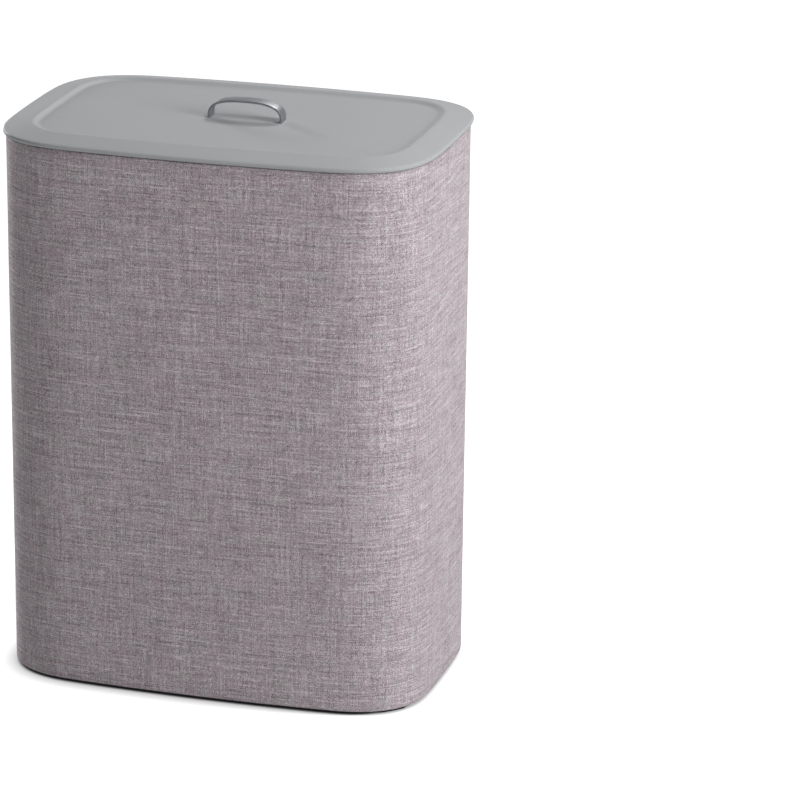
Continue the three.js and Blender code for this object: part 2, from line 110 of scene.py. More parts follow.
def tote_plan(side):
    """The plan of one tote: side is -1 for the left and 1 for the right."""
    outer = CORNER_WIDTH / 2 - TOTE_INSET
    outer_radius = CORNER_RADIUS - TOTE_INSET
    y_half = CORNER_DEPTH / 2 - TOTE_INSET
    if side < 0:
        return (-outer, -TOTE_HALF_GAP, y_half, outer_radius, TOTE_MIDDLE_RADIUS)
    return (TOTE_HALF_GAP, outer, y_half, TOTE_MIDDLE_RADIUS, outer_radius)


# ---- Outlines and meshes ----


def bow(x, y):
    """Swells a point of the plan outwards."""
    across_x, across_y = x / (CORNER_WIDTH / 2), y / (CORNER_DEPTH / 2)
    return (
        x + across_x * BOW_OF_ENDS * (1 - across_y**2),
        y + across_y * BOW_OF_FRONTS * (1 - across_x**2),
    )


def corner_point(angle):
    """A point of the unit curve that rounds the corners."""

    def part(value):
        if abs(value) <= 1e-9:
            return 0.0
        return math.copysign(abs(value) ** (2 / CORNER_FULLNESS), value)

    return part(math.cos(angle)), part(math.sin(angle))


def outline(plan, inset):
    """The points of a plan moved inwards by inset, turning left from the middle of the back."""
    x_min, x_max, y_half, left_radius, right_radius = plan
    left, right = max(left_radius - inset, 1.0), max(right_radius - inset, 1.0)
    x0, x1, y = x_min + inset, x_max - inset, y_half - inset
    corners = [
        (x1 - right, y - right, right),
        (x0 + left, y - left, left),
        (x0 + left, left - y, left),
        (x1 - right, right - y, right),
    ]
    plain = []
    for quarter, (cx, cy, radius) in enumerate(corners):
        for i in range(CORNER_STEPS + 1):
            u, v = corner_point((quarter + i / CORNER_STEPS) * math.pi / 2)
            plain.append((cx + radius * u, cy + radius * v))
        nx, ny, next_radius = corners[(quarter + 1) % 4]
        u, v = corner_point((quarter + 1) * math.pi / 2)
        from_x, from_y = plain[-1]
        to_x, to_y = nx + next_radius * u, ny + next_radius * v
        steps = END_STEPS if quarter % 2 else FRONT_STEPS
        for i in range(1, steps):
            t = i / steps
            plain.append((from_x + (to_x - from_x) * t, from_y + (to_y - from_y) * t))
    start = CORNER_STEPS + FRONT_STEPS // 2
    return [bow(*p) for p in plain[start:] + plain[:start]]


def tapered(point):
    """The point of a sleeve or tote, moved in as the sleeve narrows towards the floor."""
    x, y, z = point
    rise = min(max((z - FABRIC_BOTTOM) / (FABRIC_TOP - FABRIC_BOTTOM), 0.0), 1.0)
    return (x, y * (BASE_DEPTH_SHARE + (1 - BASE_DEPTH_SHARE) * rise), z)


def lengths_along(points, closed=True):
    """The distance along a line of points to each, and back to the first if it is closed."""
    run = [0.0]
    pairs = zip(points, points[1:] + points[:1] if closed else points[1:])
    for a, b in pairs:
        run.append(run[-1] + math.dist(a, b))
    return run


def rounded(points, steps=4, closed=False):
    """A profile with its corners rounded: each point is (inset, z) or (inset, z, radius)."""
    out = []
    count = len(points)
    for i, point in enumerate(points):
        radius = point[2] if len(point) > 2 else 0.0
        at = Vector(point[:2])
        if radius == 0 or (not closed and i in (0, count - 1)):
            out.append(tuple(at))
            continue
        before = Vector(points[i - 1][:2]) - at
        after = Vector(points[(i + 1) % count][:2]) - at
        first = at + before.normalized() * min(radius, before.length * 0.49)
        last = at + after.normalized() * min(radius, after.length * 0.49)
        for k in range(steps + 1):
            t = k / steps
            out.append(tuple(first * (1 - t) ** 2 + at * 2 * t * (1 - t) + last * t**2))
    return out


def divided(profile, longest):
    """The profile with points added so that no step is longer than longest."""
    out = []
    for a, b in zip(profile, profile[1:]):
        steps = max(1, math.ceil(math.dist(a, b) / longest))
        out += [
            (a[0] + (b[0] - a[0]) * k / steps, a[1] + (b[1] - a[1]) * k / steps)
            for k in range(steps)
        ]
    return out + [profile[-1]]


def new_object(name, vertices, faces, uvs=None, sharp=35.0):
    """A smooth-shaded object from points and, for each face, uvs, all in millimetres."""
    mesh = bpy.data.meshes.new(name)
    mesh.from_pydata([Vector(v) * MM for v in vertices], [], faces)
    if uvs:
        layer = mesh.uv_layers.new(name="cloth")
        flat = [c for face in uvs for uv in face for c in (uv[0] * MM, uv[1] * MM)]
        layer.data.foreach_set("uv", flat)
    mesh.shade_smooth()
    mesh.set_sharp_from_angle(angle=math.radians(sharp))
    mesh.validate()
    obj = bpy.data.objects.new(name, mesh)
    bpy.context.scene.collection.objects.link(obj)
    return obj


def loft(name, plan, profile, closed, move=None, taper=True, sharp=35.0):
    """Carries a profile of (inset, z) points round a plan, as a ring or as a plate with flat caps.

    move(point, inset) may return a displaced point. taper narrows it towards the floor."""
    rings = []
    for inset, z in profile:
        ring = [(x, y, z) for x, y in outline(plan, inset)]
        ring = [move(p, inset) for p in ring] if move else ring
        rings.append([tapered(p) for p in ring] if taper else ring)
    around = len(rings[0])
    run_round = lengths_along([p[:2] for p in outline(plan, 0.0)])
    run_up = lengths_along(list(profile), closed)
    faces, uvs = [], []
    for ring in range(len(rings) if closed else len(rings) - 1):
        upper = (ring + 1) % len(rings)
        low, high = run_up[ring], run_up[ring + 1]
        for i in range(around):
            j = (i + 1) % around
            faces.append(
                (ring * around + i, ring * around + j, upper * around + j, upper * around + i)
            )
            a, b = run_round[i], run_round[i + 1]
            uvs.append([(a, low), (b, low), (b, high), (a, high)])
    if not closed:
        top = (len(rings) - 1) * around
        for first, order in ((0, range(around - 1, -1, -1)), (top, range(around))):
            faces.append(tuple(first + i for i in order))
            uvs.append([rings[first // around][i][:2] for i in order])
    return new_object(name, [p for ring in rings for p in ring], faces, uvs, sharp)


def ribbon(name, stations, width, thickness, edge):
    """A flat bar with rounded edges along stations of (centre, across, normal), all vectors."""
    section = []
    for sign_a, sign_b, start in ((1, 1, 0), (-1, 1, 1), (-1, -1, 2), (1, -1, 3)):
        for k in range(4):
            angle = (start + k / 3) * math.pi / 2
            section.append(
                (
                    sign_a * (width / 2 - edge) + edge * math.cos(angle),
                    sign_b * (thickness / 2 - edge) + edge * math.sin(angle),
                )
            )
    around = len(section)
    run_round = lengths_along(section)
    run_along = lengths_along([tuple(s[0]) for s in stations], closed=False)
    vertices = [
        tuple(centre + across * a + normal * b)
        for centre, across, normal in stations
        for a, b in section
    ]
    faces, uvs = [], []
    for s in range(len(stations) - 1):
        for i in range(around):
            j = (i + 1) % around
            here, ahead = s * around, (s + 1) * around
            faces.append((here + i, here + j, ahead + j, ahead + i))
            a, b = run_round[i], run_round[i + 1]
            low, high = run_along[s], run_along[s + 1]
            uvs.append([(a, low), (b, low), (b, high), (a, high)])
    last = (len(stations) - 1) * around
    faces.append(tuple(range(around - 1, -1, -1)))
    uvs.append([section[i] for i in range(around - 1, -1, -1)])
    faces.append(tuple(last + i for i in range(around)))
    uvs.append(section)
    return facing_out(new_object(name, vertices, faces, uvs))


def facing_out(obj):
    """Turns the faces of a closed mesh outwards."""
    mesh = obj.data
    mesh.calc_loop_triangles()
    volume = 0.0
    for tri in mesh.loop_triangles:
        a, b, c = (mesh.vertices[i].co for i in tri.vertices)
        volume += a.dot(b.cross(c))
    if volume < 0:
        mesh.flip_normals()
    return obj


def joined(name, objects):
    """Makes one object of several."""
    bpy.ops.object.select_all(action="DESELECT")
    for obj in objects:
        obj.select_set(True)
    bpy.context.view_layer.objects.active = objects[0]
    bpy.ops.object.join()
    objects[0].name = name
    return objects[0]


def stitches(name, lines, outwards, length=3.2, spacing=4.4, radius=0.32):
    """Stitches along lines of points. outwards gives the cloth's normal at a point."""
    vertices, faces = [], []
    sides = 6
    # Each ring of a stitch: its place along the length, and its share of the radius.
    shape = ((-0.5, 0.35), (-0.3, 0.9), (0.0, 1.0), (0.3, 0.9), (0.5, 0.35))
    for line in lines:
        run = lengths_along([tuple(p) for p in line], closed=False)
        count = int(run[-1] / spacing)
        for n in range(count):
            at = (n + 0.5) * spacing
            i = max(k for k in range(len(run) - 1) if run[k] <= at)
            t = (at - run[i]) / max(run[i + 1] - run[i], 1e-6)
            centre = line[i].lerp(line[i + 1], t)
            along = (line[i + 1] - line[i]).normalized()
            up = outwards(centre)
            across = along.cross(up).normalized()
            base = len(vertices)
            for position, fat in shape:
                for s in range(sides):
                    angle = 2 * math.pi * s / sides
                    vertices.append(
                        tuple(
                            centre
                            + along * position * length
                            + (across * math.cos(angle) + up * math.sin(angle)) * radius * fat
                        )
                    )
            for ring in range(len(shape) - 1):
                for s in range(sides):
                    a, b = base + ring * sides + s, base + ring * sides + (s + 1) % sides
                    faces.append((a, b, b + sides, a + sides))
            faces.append(tuple(base + s for s in range(sides - 1, -1, -1)))
            faces.append(tuple(base + (len(shape) - 1) * sides + s for s in range(sides)))
    return facing_out(new_object(name, vertices, faces, sharp=60.0))


# ---- Materials ----


class Nodes:
    """Short calls for building the nodes of one material."""

    def __init__(self, name):
        self.material = bpy.data.materials.new(name)
        self.material.use_nodes = True
        self.tree = self.material.node_tree
        self.shader = self.tree.nodes["Principled BSDF"]

    def put(self, socket, value):
        """Links a socket to the value, or sets it where the value is plain."""
        if isinstance(value, bpy.types.NodeSocket):
            self.tree.links.new(value, socket)
        else:
            socket.default_value = value

    def node(self, kind, inputs=None, **settings):
        """A new node, with its settings made before its inputs are filled."""
        made = self.tree.nodes.new("ShaderNode" + kind)
        for key, value in settings.items():
            setattr(made, key, value)
        for key, value in (inputs or {}).items():
            self.put(made.inputs[key], value)
        return made

    def math(self, operation, a, b=0.0, c=0.0):
        return self.node("Math", {0: a, 1: b, 2: c}, operation=operation).outputs[0]

    def scaled(self, vector, factors):
        return self.node("VectorMath", {0: vector, 1: factors}, operation="MULTIPLY").outputs[0]

    def noise(self, vector, scale, detail, roughness=0.5):
        inputs = {"Vector": vector, "Scale": scale, "Detail": detail, "Roughness": roughness}
        return self.node("TexNoise", inputs).outputs[0]

    def span(self, value, low, high, to_low=0.0, to_high=1.0):
        """value, taken from low..high to to_low..to_high and held between them."""
        inputs = {0: value, 1: low, 2: high, 3: to_low, 4: to_high}
        return self.node("MapRange", inputs).outputs[0]

    def mix(self, factor, a, b):
        """A colour between a and b."""
        inputs = {0: factor, 6: a, 7: b}
        return self.node("Mix", inputs, data_type="RGBA").outputs[2]

    def blend(self, factor, a, b):
        """A number between a and b."""
        return self.node("Mix", {0: factor, 2: a, 3: b}, data_type="FLOAT").outputs[0]

    def bump(self, height, strength, distance):
        """A normal from a height, with distance in millimetres."""
        inputs = {"Height": height, "Strength": strength, "Distance": distance * MM}
        return self.node("Bump", inputs).outputs[0]

    def place(self):
        """The place on the object, in metres."""
        return self.node("TexCoord").outputs["Object"]

    def cloth_place(self):
        """The place on the flat cloth, in metres."""
        return self.node("UVMap", uv_map="cloth").outputs["UV"]

    def finish(self, colour, roughness, normal=None, **sockets):
        """The material, with other sockets of its shader given by name."""
        self.put(self.shader.inputs["Base Color"], colour)
        self.put(self.shader.inputs["Roughness"], roughness)
        if normal is not None:
            self.put(self.shader.inputs["Normal"], normal)
        for key, value in sockets.items():
            self.put(self.shader.inputs[key.replace("_", " ")], value)
        return self.material


def rgb(red, green, blue):
    """A colour given as sRGB bytes."""

    def linear(byte):
        part = byte / 255
        return part / 12.92 if part <= 0.04045 else ((part + 0.055) / 1.055) ** 2.4

    return (linear(red), linear(green), linear(blue), 1.0)


def threads(n, pitch, warp_length, weft_length, wobble=0.4):
    """A plain weave on the cloth's own coordinates, with yarns pitch millimetres apart.

    Gives the tones of the warp and of the weft, whose slubs are about warp_length and weft_length
    yarns long, which of them is on top, a random number for each crossing, and the height.
    The yarns stray by up to wobble of their pitch."""
    row_spacing, warp_seed, weft_seed = 5.37, 3.1, 8.7
    place = n.cloth_place()
    sway = n.noise(place, 30.0, 2.0)
    split = n.node("SeparateXYZ", {0: place})
    per_metre = 1 / (pitch * MM)
    shift = n.math("MULTIPLY_ADD", sway, wobble * 2, -wobble)
    u = n.math("MULTIPLY_ADD", split.outputs[0], per_metre, shift)
    v = n.math("MULTIPLY_ADD", split.outputs[1], per_metre, shift)
    i, j = n.math("FLOOR", u), n.math("FLOOR", v)
    weft_on_top = n.math("ABSOLUTE", n.math("MODULO", n.math("ADD", i, j), 2.0))

    def slub(index, along, length, seed):
        row = n.math("MULTIPLY", index, row_spacing)
        run = n.math("MULTIPLY", along, 1 / length)
        spot = n.node("CombineXYZ", {0: row, 1: run, 2: seed})
        return n.noise(spot.outputs[0], 1.0, 2.0, 0.6)

    def crown(value):
        across = n.math("MULTIPLY_ADD", n.math("FRACT", value), 2.0, -1.0)
        return n.math("SUBTRACT", 1.0, n.math("MULTIPLY", across, across))

    warp = slub(i, v, warp_length, warp_seed)
    weft = slub(j, u, weft_length, weft_seed)
    crossing = n.node("CombineXYZ", {0: i, 1: j, 2: 0.5}).outputs[0]
    grain = n.node("TexWhiteNoise", {"Vector": crossing}).outputs["Value"]
    height = n.math("MULTIPLY", crown(u), crown(v))
    return warp, weft, weft_on_top, grain, height


def melange_fabric():
    """Plain weave of pinkish-grey yarns, mottled at every crossing, with long thin slubs."""
    n = Nodes("melange_fabric")
    warp, weft, weft_on_top, grain, height = threads(n, 1.0, 48.0, 44.0)
    place = n.cloth_place()
    patch = n.noise(n.scaled(place, (1.0, 1.5, 1.0)), 46.0, 3.0, 0.65)
    strong_weft = n.math("MULTIPLY_ADD", weft, 1.25, -0.125)
    yarn = n.blend(weft_on_top, warp, strong_weft)
    mottle = n.math("MULTIPLY_ADD", grain, 0.46, -0.23)
    stronger = n.math("MULTIPLY_ADD", n.math("SUBTRACT", yarn, 0.5), 1.25, 0.5)
    tone = n.math("ADD", stronger, mottle)
    hue = n.span(patch, 0.46, 0.66, 0.0, 0.6)
    dark = n.mix(hue, rgb(112, 100, 106), rgb(107, 106, 105))
    ground = n.mix(hue, rgb(163, 150, 157), rgb(156, 153, 153))
    pale, dark_slub = rgb(208, 201, 205), rgb(104, 93, 100)
    shaded = n.mix(n.span(tone, 0.46, 0.14), ground, dark)
    lit = n.mix(n.span(tone, 0.54, 0.88), shaded, pale)
    pale_weft = n.span(weft, 0.66, 0.74, 0.0, 0.5)
    pale_warp = n.span(warp, 0.69, 0.77, 0.0, 0.42)
    dark_weft = n.span(weft, 0.34, 0.27, 0.0, 0.4)
    streaked = n.mix(n.math("MAXIMUM", pale_weft, pale_warp), lit, pale)
    colour = n.mix(dark_weft, streaked, dark_slub)
    lifted = n.math("MULTIPLY_ADD", n.math("MAXIMUM", warp, weft), 0.5, height)
    rough = n.span(height, 0.0, 1.0, 0.95, 0.82)
    return n.finish(colour, rough, n.bump(lifted, 0.3, 0.2),
                    Sheen_Weight=0.12, Sheen_Roughness=0.6, Specular_IOR_Level=0.25)


def plain_cloth(name, colour, dark):
    """Plain-woven bag cloth of one colour, a little soiled in places."""
    n = Nodes(name)
    warp, weft, weft_on_top, grain, height = threads(n, 0.8, 20.0, 24.0)
    soiled = n.noise(n.place(), 7.0, 3.0)
    tone = n.math("MULTIPLY_ADD", grain, 0.2, n.blend(weft_on_top, warp, weft))
    yarn = n.mix(n.span(tone, 0.4, 0.8), dark, colour)
    base = n.mix(n.span(soiled, 0.45, 0.75, 0.0, 0.18), yarn, dark)
    normal = n.bump(height, 0.4, 0.22)
    return n.finish(base, n.span(tone, 0.4, 0.8, 0.92, 0.8), normal,
                    Sheen_Weight=0.1, Specular_IOR_Level=0.3)


def strap_canvas():
    """Ribbed webbing: close ridges across the strap, with painted shade darkening the troughs
    between them.
    """
    n = Nodes("strap_canvas")
    warp, weft, weft_on_top, _, height = threads(n, 1.3, 6.0, 30.0, 0.3)
    fuzz = n.noise(n.place(), 900.0, 3.0)
    # The first colour is painted shade for the troughs; the colour follows the weave's height, so
    # its low parts are darker.
    trough_painted_shade, ridge, worn = rgb(38, 38, 41), rgb(84, 85, 89), rgb(110, 111, 115)
    yarn = n.mix(n.span(height, 0.1, 0.8), trough_painted_shade, ridge)
    tone = n.blend(weft_on_top, warp, weft)
    base = n.mix(n.span(tone, 0.35, 0.7, 0.0, 0.35), yarn, worn)
    normal = n.bump(n.math("MULTIPLY_ADD", fuzz, 0.3, height), 0.7, 0.4)
    return n.finish(base, 0.88, normal, Sheen_Weight=0.15, Specular_IOR_Level=0.25)


def moulded_plastic(name, colour, worn, roughness=0.6, grain=0.2):
    """Matt moulded plastic: a fine spark-eroded grain, faint flow marks and rubbed edges.

    grain is the strength of the grain's bump."""
    n = Nodes(name)
    place = n.place()
    fine = n.noise(place, 1500.0, 2.0, 0.6)
    cells = n.node("TexVoronoi", {"Vector": place, "Scale": 620.0}).outputs["Distance"]
    flow = n.noise(n.scaled(place, (1.0, 2.6, 1.0)), 3.5, 3.0)
    smudge = n.noise(place, 16.0, 4.0, 0.65)
    edge = n.node("NewGeometry").outputs["Pointiness"]
    rubbed = n.math("MULTIPLY", n.span(edge, 0.53, 0.60), n.span(smudge, 0.4, 0.65, 0.2, 0.8))
    tinted = n.mix(n.span(flow, 0.3, 0.7, 0.0, 0.10), colour, worn)
    base = n.mix(n.math("MULTIPLY", rubbed, 0.35), tinted, worn)
    broad = n.span(smudge, 0.3, 0.7, roughness - 0.06, roughness + 0.05)
    rough = n.math("ADD", broad, n.span(fine, 0.3, 0.7, -0.04, 0.04))
    height = n.math("MULTIPLY_ADD", cells, 0.6, fine)
    return n.finish(base, rough, n.bump(height, grain, 0.12), Specular_IOR_Level=0.22)


def satin_steel():
    """Satin-finished coated steel, brushed along the strap, with duller touched patches."""
    n = Nodes("satin_steel")
    place = n.place()
    brushed = n.noise(n.scaled(place, (60.0, 2600.0, 500.0)), 1.0, 3.0, 0.6)
    touched = n.noise(place, 70.0, 3.0)
    base = n.mix(n.span(brushed, 0.35, 0.65), rgb(138, 142, 144), rgb(155, 158, 161))
    streaks = n.span(brushed, 0.3, 0.7, 0.40, 0.50)
    rough = n.math("ADD", streaks, n.span(touched, 0.4, 0.7, 0.0, 0.08))
    return n.finish(base, rough, n.bump(brushed, 0.1, 0.04), Metallic=0.8)


def drawn_wire():
    """Bright steel wire with fine drawing marks."""
    n = Nodes("drawn_wire")
    brushed = n.noise(n.scaled(n.place(), (300.0, 300.0, 2600.0)), 1.0, 2.0)
    base = n.mix(brushed, rgb(150, 152, 155), rgb(196, 198, 200))
    return n.finish(base, n.span(brushed, 0.3, 0.7, 0.28, 0.42), n.bump(brushed, 0.15, 0.05),
                    Metallic=1.0)


def black_rubber():
    """Matt rubber with a fine pebbled skin and grey scuffs."""
    n = Nodes("black_rubber")
    place = n.place()
    pebble = n.node("TexVoronoi", {"Vector": place, "Scale": 900.0}).outputs["Distance"]
    scuff = n.noise(n.scaled(place, (1.0, 1.0, 4.0)), 120.0, 4.0, 0.7)
    base = n.mix(n.span(scuff, 0.52, 0.72, 0.0, 0.5), rgb(24, 24, 25), rgb(72, 71, 70))
    return n.finish(base, n.span(scuff, 0.3, 0.7, 0.72, 0.9), n.bump(pebble, 0.35, 0.15),
                    Specular_IOR_Level=0.35)


def greyboard():
    """Recycled board: mixed fibres and flecks."""
    n = Nodes("greyboard")
    place = n.place()
    fibres = n.noise(n.scaled(place, (1.0, 1.0, 0.3)), 420.0, 4.0, 0.7)
    flecks = n.noise(place, 1100.0, 1.0)
    base = n.mix(n.span(fibres, 0.3, 0.7), rgb(150, 137, 118), rgb(182, 169, 148))
    base = n.mix(n.span(flecks, 0.68, 0.74, 0.0, 0.6), base, rgb(96, 84, 70))
    return n.finish(base, n.span(fibres, 0.3, 0.7, 0.8, 0.92), n.bump(fibres, 0.3, 0.2),
                    Specular_IOR_Level=0.2)


def nonwoven_lining():
    """Heat-bonded nonwoven: tangled fibres with small pressed dimples."""
    n = Nodes("nonwoven_lining")
    place = n.place()
    fibres = n.noise(place, 700.0, 4.0, 0.75)
    pressed = n.node("TexVoronoi", {"Vector": place, "Scale": 480.0}).outputs["Distance"]
    dimple = n.span(pressed, 0.12, 0.3)
    base = n.mix(n.span(fibres, 0.3, 0.7), rgb(150, 150, 153), rgb(196, 196, 198))
    height = n.math("MULTIPLY_ADD", fibres, 0.4, dimple)
    return n.finish(base, n.span(dimple, 0.0, 1.0, 0.7, 0.92), n.bump(height, 0.4, 0.2),
                    Sheen_Weight=0.1)


def sewing_thread(name, colour, dark):
    """Twisted thread, with painted shade between its strands; dark is the colour of that shade."""
    n = Nodes(name)
    twist_and_painted_shade = n.noise(n.scaled(n.place(), (1.0, 1.0, 1.6)), 2600.0, 2.0)
    # The colour follows the strands' height: painted shade in the grooves between them.
    return n.finish(n.mix(twist_and_painted_shade, dark, colour), n.span(twist_and_painted_shade, 0.3, 0.7, 0.6, 0.8),
                    n.bump(twist_and_painted_shade, 0.4, 0.08), Sheen_Weight=0.2)


def grey(share):
    """A grey that reflects this share of the light."""
    return (share, share, share, 1.0)


def studio_white():
    """The pale floor, with light of its own, which is less near and under the object.

    It shines and reflects less on the object than it shows."""
    reach, shown, cast = 0.036, 0.98, 0.74
    n = Nodes("studio_white")
    cloudy = n.noise(n.place(), 0.8, 2.0)
    seen = n.node("LightPath").outputs["Is Camera Ray"]
    colour = n.mix(seen, grey(0.1), n.mix(cloudy, grey(0.86), grey(0.88)))
    open_sky = n.node("AmbientOcclusion", {"Distance": reach}, samples=16).outputs["AO"]
    strength = n.span(seen, 0.0, 1.0, cast, shown)
    glow = n.math("MULTIPLY", n.span(open_sky, 0.18, 0.80), strength)
    return n.finish(colour, 0.9, Emission_Color=grey(1.0), Emission_Strength=glow,
                    Specular_IOR_Level=0.0)


LOOKS = {
    "woven_fabric": melange_fabric(),
    "board": greyboard(),
    "lining": nonwoven_lining(),
    "grey_plastic": moulded_plastic("grey_plastic", rgb(158, 159, 161), rgb(178, 179, 180)),
    "black_plastic": moulded_plastic("black_plastic", rgb(30, 30, 32), rgb(66, 66, 68), 0.62, 0.3),
    "black_rubber": black_rubber(),
    "light_cloth": plain_cloth("light_cloth", rgb(224, 222, 216), rgb(196, 193, 186)),
    "dark_cloth": plain_cloth("dark_cloth", rgb(98, 99, 103), rgb(66, 67, 71)),
    "wire": drawn_wire(),
    "webbing": strap_canvas(),
    "satin_steel": satin_steel(),
}
# The second colour of each thread is the painted shade between its strands.
PALE_THREAD = sewing_thread("pale_thread", rgb(212, 210, 205), rgb(150, 148, 143))
DARK_THREAD = sewing_thread("dark_thread", rgb(76, 77, 80), rgb(38, 38, 41))


def place_piece(obj, body, slot, *nodes, look=None):
    """Gives a piece the material of its slot, or the given look, hangs it from its body, and hides
    the CAD nodes that it stands for.
    """
    obj.data.materials.clear()
    obj.data.materials.append(look or LOOKS[slot])
    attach(obj, body)
    if nodes:
        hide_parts(*nodes)
    return obj


# ---- Sleeve ----


def unevenness(x, y, z, seed, size):
    """A smooth random number from -1 to 1 that changes over about size millimetres."""
    return noise.noise(Vector((x / size + seed, y / size, z / size)))


def pushed(point, amount, plan):
    """The point moved outwards from the middle of the plan by amount."""
    x, y, z = point
    middle = (plan[0] + plan[1]) / 2
    outwards = Vector(((x - middle) / (plan[1] - plan[0]) ** 2, y / (2 * plan[2]) ** 2, 0.0))
    if outwards.length < 1e-12:
        return point
    outwards.normalize()
    return (x + outwards.x * amount, y + outwards.y * amount, z)


def woven_cover():
    """The cover: stretched over the board, turned down inside the mouth and in under the base."""
    cloth, edge, under = COVER_CLOTH, COVER_TURNED_IN, COVER_TURNED_UNDER
    low, high = FABRIC_BOTTOM, FABRIC_TOP
    hem = high - COVER_TURNED_DOWN
    profile = [
        (0.0, low, 2.4),
        (0.0, high, 1.6),
        (edge, high, 0.8),
        (edge, hem, 0.4),
        (edge - cloth, hem, 0.4),
        (edge - cloth, high - cloth, 0.5),
        (cloth, high - cloth, 0.8),
        (cloth, low + cloth, 1.4),
        (under, low + cloth, 0.4),
        (under, low, 0.4),
    ]
    rows = divided(rounded(profile, 4, closed=True), 14.0)
    even_edge = 8.0

    def uneven(point, inset):
        if inset > cloth + 0.1 or not low + even_edge < point[2] < high - even_edge:
            return point
        amount = 0.3 * unevenness(*point, 4.0, 150.0) + 0.05 * unevenness(*point, 9.0, 45.0)
        return pushed(point, amount - 0.1, WHOLE)

    cover = loft("cover_woven", WHOLE, rows, True, uneven)
    place_piece(cover, "hamper", "woven_fabric", "fabric_cover")
    around = lengths_along(outline(WHOLE, 0.0))[-1] * MM


def cover_seam():
    """The lap at the middle of the back where the cover's two edges meet."""
    back = CORNER_DEPTH / 2 + BOW_OF_FRONTS
    low, high = FABRIC_BOTTOM + 3.5, FABRIC_TOP - 2.0
    rightwards, backwards = Vector((1, 0, 0)), Vector((0, 1, 0))
    stations = []
    steps = 60
    for i in range(steps + 1):
        z = low + (high - low) * i / steps
        wave = 0.25 * unevenness(0.0, 0.0, z, 2.0, 60.0)
        centre = Vector(tapered((wave, back + 0.25, z)))
        stations.append((centre, rightwards, backwards))
    lap = ribbon("cover_back_lap", stations, 2 * SEAM_HALF_WIDTH, 1.1, 0.4)
    place_piece(lap, "hamper", "woven_fabric")
    thread_x, thread_y, end, points = SEAM_HALF_WIDTH - 2.2, back + 0.95, 4, 40
    run = high - low - 2 * end
    lines = [
        [Vector(tapered((x, thread_y, low + end + run * i / points))) for i in range(points + 1)]
        for x in (-thread_x, thread_x)
    ]
    sewn = stitches("cover_back_stitches", lines, lambda point: backwards)
    place_piece(sewn, "hamper", "woven_fabric", look=PALE_THREAD)


def rim_moulding():
    """The plastic rim: flange over the cover's edge, wall inside it, and a ledge for the totes."""
    flange_under = FABRIC_TOP + 0.3
    flange_out, wall_out, wall_in, ledge_in = 3.0, 6.3, 8.8, 15.6
    profile = [
        (wall_out, LEDGE_UNDER, 0.8),
        (wall_out, flange_under, 0.4),
        (flange_out, flange_under, 0.5),
        (flange_out, RIM_TOP, 0.7),
        (wall_in, RIM_TOP, 1.2),
        (wall_in, LEDGE_TOP, 2.2),
        (ledge_in, LEDGE_TOP, 0.9),
        (ledge_in, LEDGE_UNDER, 0.9),
    ]
    rim = loft("rim_moulding", WHOLE, rounded(profile, 4, closed=True), True)
    place_piece(rim, "hamper", "grey_plastic", "rim_frame")


# ---- Totes ----


def tote_profile():
    """The wall of a bag: up its outside, over the hem rolled round the hoop, down its inside."""
    outer, inner = TOTE_WALL_INSET, TOTE_WALL_INSET + TOTE_CLOTH
    low, floor = TOTE_BOTTOM, TOTE_BOTTOM + TOTE_CLOTH
    fillet = 6
    roll_radius = HOOP_RADIUS + TOTE_CLOTH + 0.2
    outside = [
        (outer + fillet, low),
        (outer, low + fillet, 4.0),
        (outer, TOTE_HEM_FOOT, 0.5),
    ]
    roll = []
    for degrees in range(-70, 151, 20):
        angle = math.radians(degrees)
        inset = HOOP_INSET - roll_radius * math.cos(angle)
        roll.append((inset, HOOP_LEVEL + roll_radius * math.sin(angle)))
    inside = [
        (inner - 0.2, HOOP_LEVEL - 3.0, 2.0),
        (inner + 0.3, TOTE_HEM_FOOT - 4.0, 0.8),
        (inner, TOTE_HEM_FOOT - 5.0, 0.5),
        (inner, floor + fillet, 4.0),
        (inner + fillet, floor),
    ]
    return rounded(outside, 3) + roll + rounded(inside, 3)


def tote_bag(name, side, slot, thread):
    """An open cloth bag hung from its hoop, with soft upright folds in its walls."""
    plan = tote_plan(side)
    middle_x = (plan[0] + plan[1]) / 2
    # The folds start this far from the hoop and the floor, and come in over this height.
    hoop_margin, hoop_fade, floor_margin, floor_fade = 14, 160, 4, 40

    def folds(point, inset):
        x, y, z = point
        floor = TOTE_BOTTOM + TOTE_CLOTH
        hung = min(max((HOOP_LEVEL - hoop_margin - z) / hoop_fade, 0.0), 1.0)
        stood = min(max((z - floor - floor_margin) / floor_fade, 0.0), 1.0)
        angle = math.atan2(y, x - middle_x)
        upright = unevenness(6 * math.cos(angle), 6 * math.sin(angle), z / 60, side * 3.0, 1.0)
        slack = unevenness(x, y, z, side * 7.0, 70.0)
        return pushed(point, hung * stood * (-1.6 + 2.2 * upright + 1.2 * slack), plan)

    bag = loft(f"{name}_bag_sewn", plan, divided(tote_profile(), 13.0), False, folds)
    place_piece(bag, "hamper", slot, f"{name}_bag")
    around = lengths_along(outline(plan, TOTE_WALL_INSET))[-1] * MM

    def inwards(point):
        return Vector((middle_x - point.x, -point.y, 0.0)).normalized()

    sewn_at = outline(plan, TOTE_WALL_INSET + TOTE_CLOTH - 0.1)
    line = [Vector(tapered((x, y, TOTE_HEM_FOOT - 1.5))) for x, y in sewn_at + sewn_at[:1]]
    row = stitches(f"{name}_hem_stitches", [line], inwards)
    place_piece(row, "hamper", slot, look=thread)


